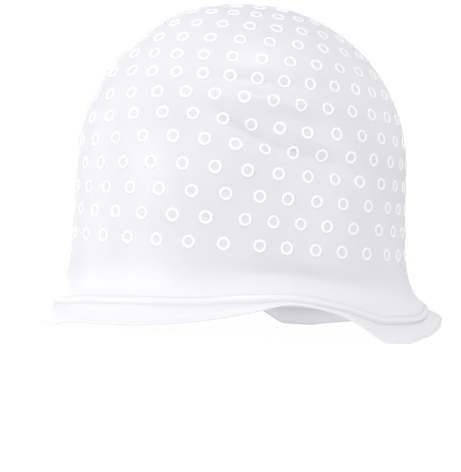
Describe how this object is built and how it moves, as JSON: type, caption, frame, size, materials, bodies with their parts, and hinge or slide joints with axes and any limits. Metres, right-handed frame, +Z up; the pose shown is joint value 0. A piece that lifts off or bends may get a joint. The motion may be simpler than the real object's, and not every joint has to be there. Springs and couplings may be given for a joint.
{
  "type": "highlighting cap",
  "caption": "One-piece moulded silicone cap for pulling strands of hair through: a ringed dome, a plain flared side, a thick rim bead and a wide drip lip with ear arches.",
  "frame": {"origin": "on the surface that the cap stands on, below the middle of its outer width and length", "axes": "+Z up through the dome, -Y towards the forehead, +Y towards the nape, -X on the wearer's right"},
  "size_m": [0.1822, 0.2444, 0.1953],
  "materials": {
    "silicone_skin": "satin",
    "silicone_thick": "satin"
  },
  "bodies": {
    "root": {"crown_dome": "silicone_skin", "side_wall": "silicone_skin", "rim_bead": "silicone_thick", "drip_lip": "silicone_skin", "lip_edge": "silicone_thick"}
  },
  "joints": []
}
